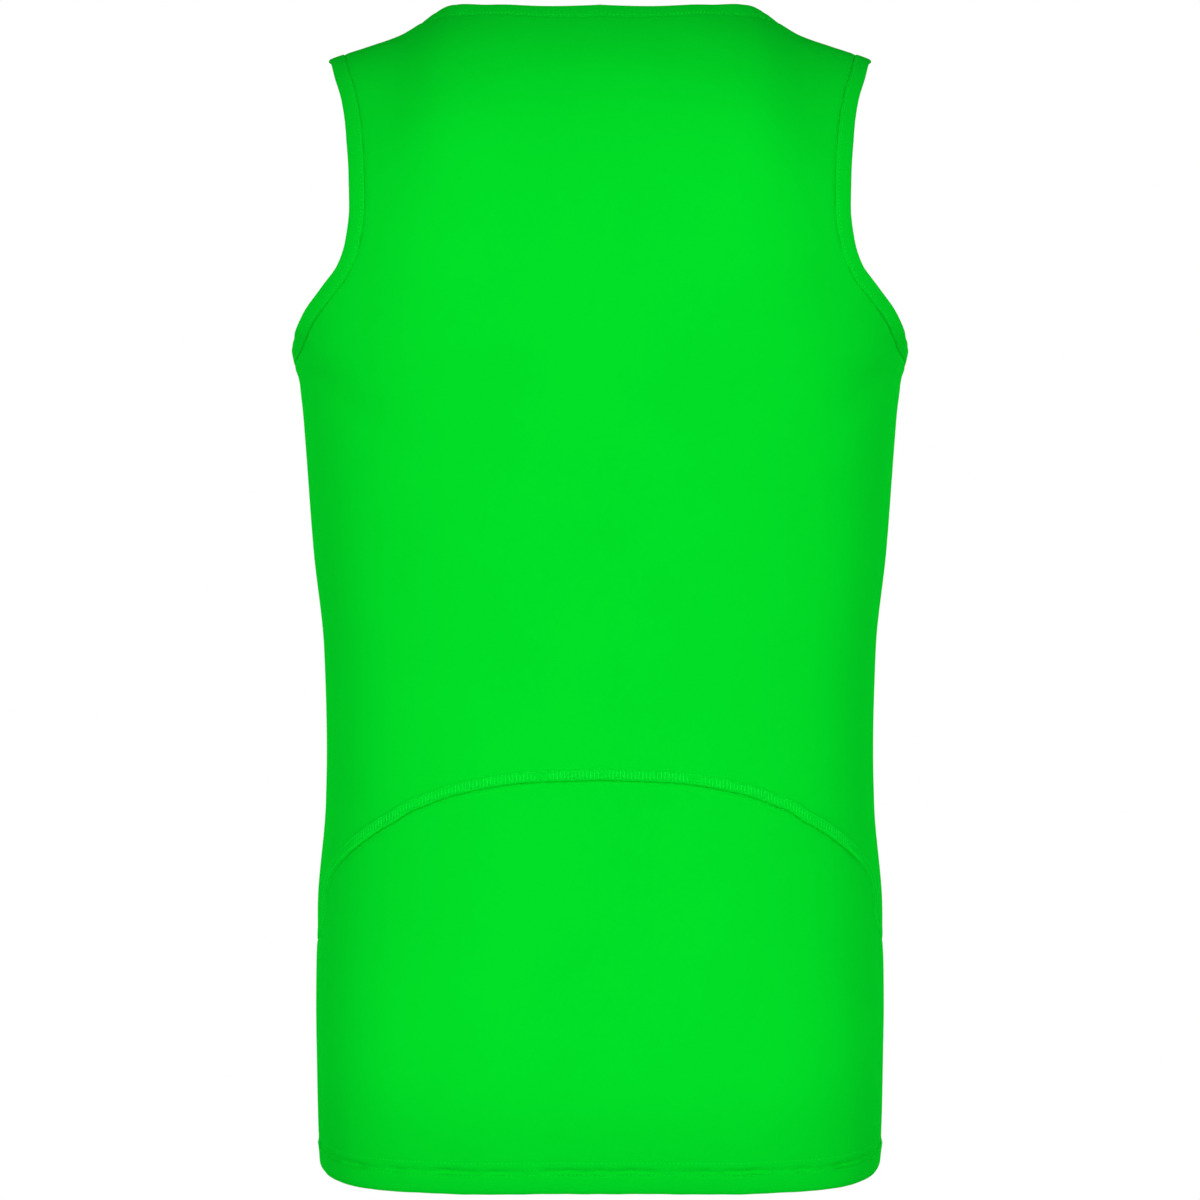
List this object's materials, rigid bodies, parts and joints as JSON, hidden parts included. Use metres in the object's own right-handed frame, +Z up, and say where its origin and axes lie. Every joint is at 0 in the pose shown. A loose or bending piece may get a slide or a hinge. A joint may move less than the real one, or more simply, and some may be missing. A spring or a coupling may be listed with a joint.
{
  "type": "sports tank top",
  "caption": "Sleeveless sports top as worn: round neck and armholes bound with narrow bands, back panel with an arched seam low down, open waist and plain turned-up hem.",
  "frame": {"origin": "midway between the tops of the two shoulder straps, where the wearer's shoulders hold the top up", "axes": "+Z up as worn, +X towards the wearer's left, +Y towards the wearer's back"},
  "size_m": [0.3722, 0.2394, 0.6921],
  "materials": {
    "knit": "bright green smooth polyester knit, matt with a slight sheen",
    "binding": "the same green knit, doubled as binding"
  },
  "bodies": {
    "root": {"front_panel": "knit", "back_panel_upper": "knit", "back_panel_lower": "knit", "neck_band": "binding", "armhole_band_left": "binding", "armhole_band_right": "binding"}
  },
  "joints": []
}
